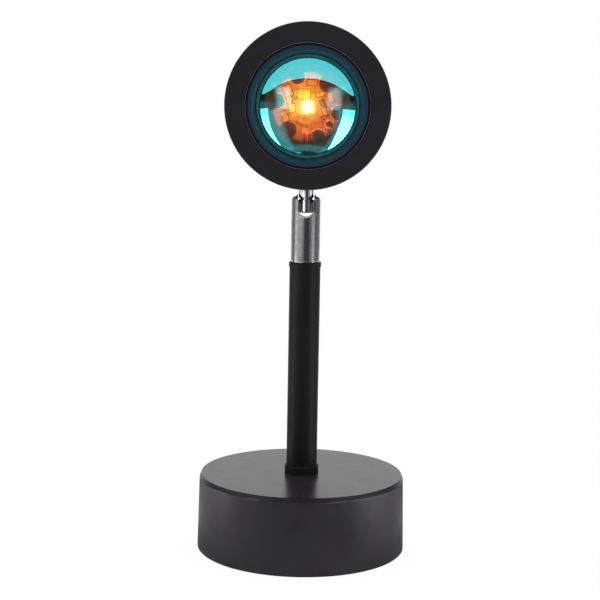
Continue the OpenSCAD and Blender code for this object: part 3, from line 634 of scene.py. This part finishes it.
white = node(paper, "Emission", Color=(1, 1, 1, 1), Strength=1.0).outputs[0]
seen = calc(paper, "MAXIMUM", ray.outputs["Is Camera Ray"], ray.outputs["Is Transmission Ray"])
share = calc(paper, "MULTIPLY", seen, between(paper, away, 0.97, 1.0, 0.05, 0.12))
lit_paper = paper.node_tree.nodes["Principled BSDF"].outputs[0]
sweep = node(paper, "MixShader", Fac=share, B=lit_paper, C=white).outputs[0]
either = node(paper, "MixShader", Fac=ray.outputs["Is Glossy Ray"], B=sweep, C=in_gloss).outputs[0]
paper.node_tree.links.new(either, paper.node_tree.nodes["Material Output"].inputs["Surface"])
floor.data.materials.append(paper)

# ---- The room: walls ----
# Plain white walls. Gloss sees the side that the lens faces dark, but for a low skyline and an upright
# pane to each side, and the wall behind the lamp nearly white. Matt surfaces get the same light, with a
# dim fill wherever it is darker than that.
world = bpy.data.worlds.new("room")
world.use_nodes = True
bench.world = world
for old in list(world.node_tree.nodes):
    world.node_tree.nodes.remove(old)
facing = node(world, "SeparateXYZ", Vector=node(world, "TexCoord").outputs["Generated"])
sky_ray = node(world, "LightPath")
pane_edge = 0.06


def pane(low, high, axis, sign=1):
    """1 where the direction's component, times the sign, lies between low and high, with soft edges."""
    value = calc(world, "MULTIPLY", facing.outputs[axis], sign)
    up = slope(world, value, low - pane_edge, low + pane_edge)
    down = slope(world, value, high - pane_edge, high + pane_edge, 1, 0)
    return calc(world, "MULTIPLY", up, down)


ahead = calc(world, "MULTIPLY", pane(0.0, 1.1, "Y", -1), pane(-0.1, 0.5, "Z"))
left_pane = calc(world, "MULTIPLY", pane(0.5, 0.82, "X", -1), 0.58)
right_pane = calc(world, "MULTIPLY", pane(0.56, 0.86, "X"), 0.42)
both_panes = calc(world, "ADD", left_pane, right_pane)
back_light = slope(world, facing.outputs["Y"], 0.5, 0.9, 0.0, 0.9)
sideways = calc(world, "POWER", calc(world, "ABSOLUTE", facing.outputs["X"]), 6)
skyline_level = calc(world, "MULTIPLY_ADD", sideways, 0.1, 0.04)
skyline = calc(world, "MULTIPLY_ADD", pane(-0.2, 0.1, "Z"), skyline_level, 0.018)
glossy_room = calc(world, "MULTIPLY_ADD", ahead, both_panes, calc(world, "MAXIMUM", skyline, back_light))
fill = calc(world, "MULTIPLY", sky_ray.outputs["Is Diffuse Ray"], 0.3)
brightest = calc(world, "MAXIMUM", glossy_room, fill)
room = node(world, "Background", Color=(1, 1, 1, 1), Strength=brightest).outputs[0]
plain = node(world, "Background", Color=(1, 1, 1, 1), Strength=1.0).outputs[0]
view = node(world, "MixShader", Fac=sky_ray.outputs["Is Camera Ray"], B=room, C=plain).outputs[0]
node(world, "OutputWorld", Surface=view)

# ---- The room: lamps ----
# A long soft oval lamp hangs over the head and lights everything. Two small lamps close by, seen in
# gloss only, give the chrome of the neck and the satin nickel of the sleeve their bright left side.


def lamp(name, place_at, towards, width, depth, radiance, shape="RECTANGLE"):
    """An area light of even radiance: its power is radiance times pi times its area, times pi / 4 if oval."""
    light = bpy.data.lights.new(name, "AREA")
    light.shape, light.size, light.size_y = shape, width, depth
    light.energy = radiance * math.pi * width * depth * (math.pi / 4 if shape == "ELLIPSE" else 1)
    stand = bpy.data.objects.new(name, light)
    stand.location = place_at
    stand.rotation_euler = (Vector(towards) - Vector(place_at)).to_track_quat("-Z", "Y").to_euler()
    stand.visible_camera = False
    bench.collection.objects.link(stand)
    return stand


overhead_h = 0.55
overhead_w = 7.7 * overhead_h
overhead_d = 1.79 * overhead_h
lamp("overhead", (0, 0, axis_z + overhead_h), (0, 0, axis_z), overhead_w, overhead_d, 1.0, "ELLIPSE")
small_x, small_y, small_w = -0.017, -0.0218, 0.025
for name, middle_z, tall, radiance in (("glint", 0.157, 0.012, 1.0), ("sheen", 0.1335, 0.035, 0.42)):
    small = lamp(name, (small_x, small_y, middle_z), (0, 0, middle_z), small_w, tall, radiance)
    small.visible_diffuse = small.visible_transmission = False

# ---- The room: boards and cards ----
# Two lit boards lie on the floor to the left and right, and give the dome its bright crescents. Two
# black cards on edge beside the stem keep the boards' glare off the metal. All show in gloss only.
board_z = 0.002
card_low, card_high = 0.04, 0.158


def panel(name, corners, made):
    """One flat face through the corners, which shows in gloss only and is no part of the lamp."""
    mesh = bpy.data.meshes.new(name)
    mesh.from_pydata(corners, [], [tuple(range(len(corners)))])
    mesh.materials.append(made)
    sheet = bpy.data.objects.new(name, mesh)
    bench.collection.objects.link(sheet)
    for seen_by in ("camera", "diffuse", "transmission", "shadow"):
        setattr(sheet, "visible_" + seen_by, False)


def low_board(name, outline, near, far):
    """A lit board lying just over the floor, cut to an outline of x and y. Its radiance runs from near to
    far between 0.3 and 1.2 m from the middle, and what stands within 0.17 m is spared its glare."""
    lit = finish(name, Base_Color=(0, 0, 0, 1), Emission_Color=(1, 1, 1, 1), Specular_IOR_Level=0.0)
    reach = node(lit, "VectorMath", operation="LENGTH", A=where_on(lit)).outputs["Value"]
    glow = between(lit, reach, near, far, 0.3, 1.2)
    passed = between(lit, node(lit, "LightPath").outputs["Ray Length"], 0.1, 1, 0.17, 0.2)
    join(lit, Emission_Strength=calc(lit, "MULTIPLY", glow, passed))
    panel(name, [(x, y, board_z) for x, y in outline], lit)


def black_card(name, start, end):
    """A black card on edge from start to end, each an x and y."""
    matt = finish(name, Base_Color=(0, 0, 0, 1), Specular_IOR_Level=0.0)
    panel(name, [(*start, card_low), (*end, card_low), (*end, card_high), (*start, card_high)], matt)


low_board("low_left", [(-3.9, 0.9), (-0.13, 0.04), (-0.118, 0.0), (-0.144, -0.03), (-0.211, -0.057),
                       (-0.318, -0.091), (-0.515, -0.152), (-0.976, -0.291), (-3.9, -1.16)], 5.0, 1.8)
low_board("low_right", [(3.9, 0.2), (3.9, -1.94), (1.017, -0.506), (0.44, -0.235), (0.282, -0.159),
                        (0.168, -0.087), (0.1, -0.028), (0.1, 0.02)], 6.5, 1.8)
black_card("card_right", (0.056, -0.024), (0.056, 0.02))
black_card("card_left", (-0.056, -0.002), (-0.056, 0.02))

# ---- Camera ----
# It stands a little below the lens axis, in front of the lamp, and looks slightly down at it. The
# frame is turned by a degree about the line of sight.
camera_at = (0, -616.98 * mm, 192.18 * mm)
look_down = 0.1248
roll = 0.0176
eye = bpy.data.cameras.new("camera")
eye.lens, eye.sensor_width, eye.shift_x = 82.22, 36.0, -0.00736
camera = bpy.data.objects.new("camera", eye)
camera.matrix_world = (Matrix.Translation(camera_at)
                       @ Matrix.Rotation(math.pi / 2 - look_down, 4, "X") @ Matrix.Rotation(roll, 4, "Z"))
bench.collection.objects.link(camera)
bench.camera = camera
bench.view_settings.view_transform = "Standard"
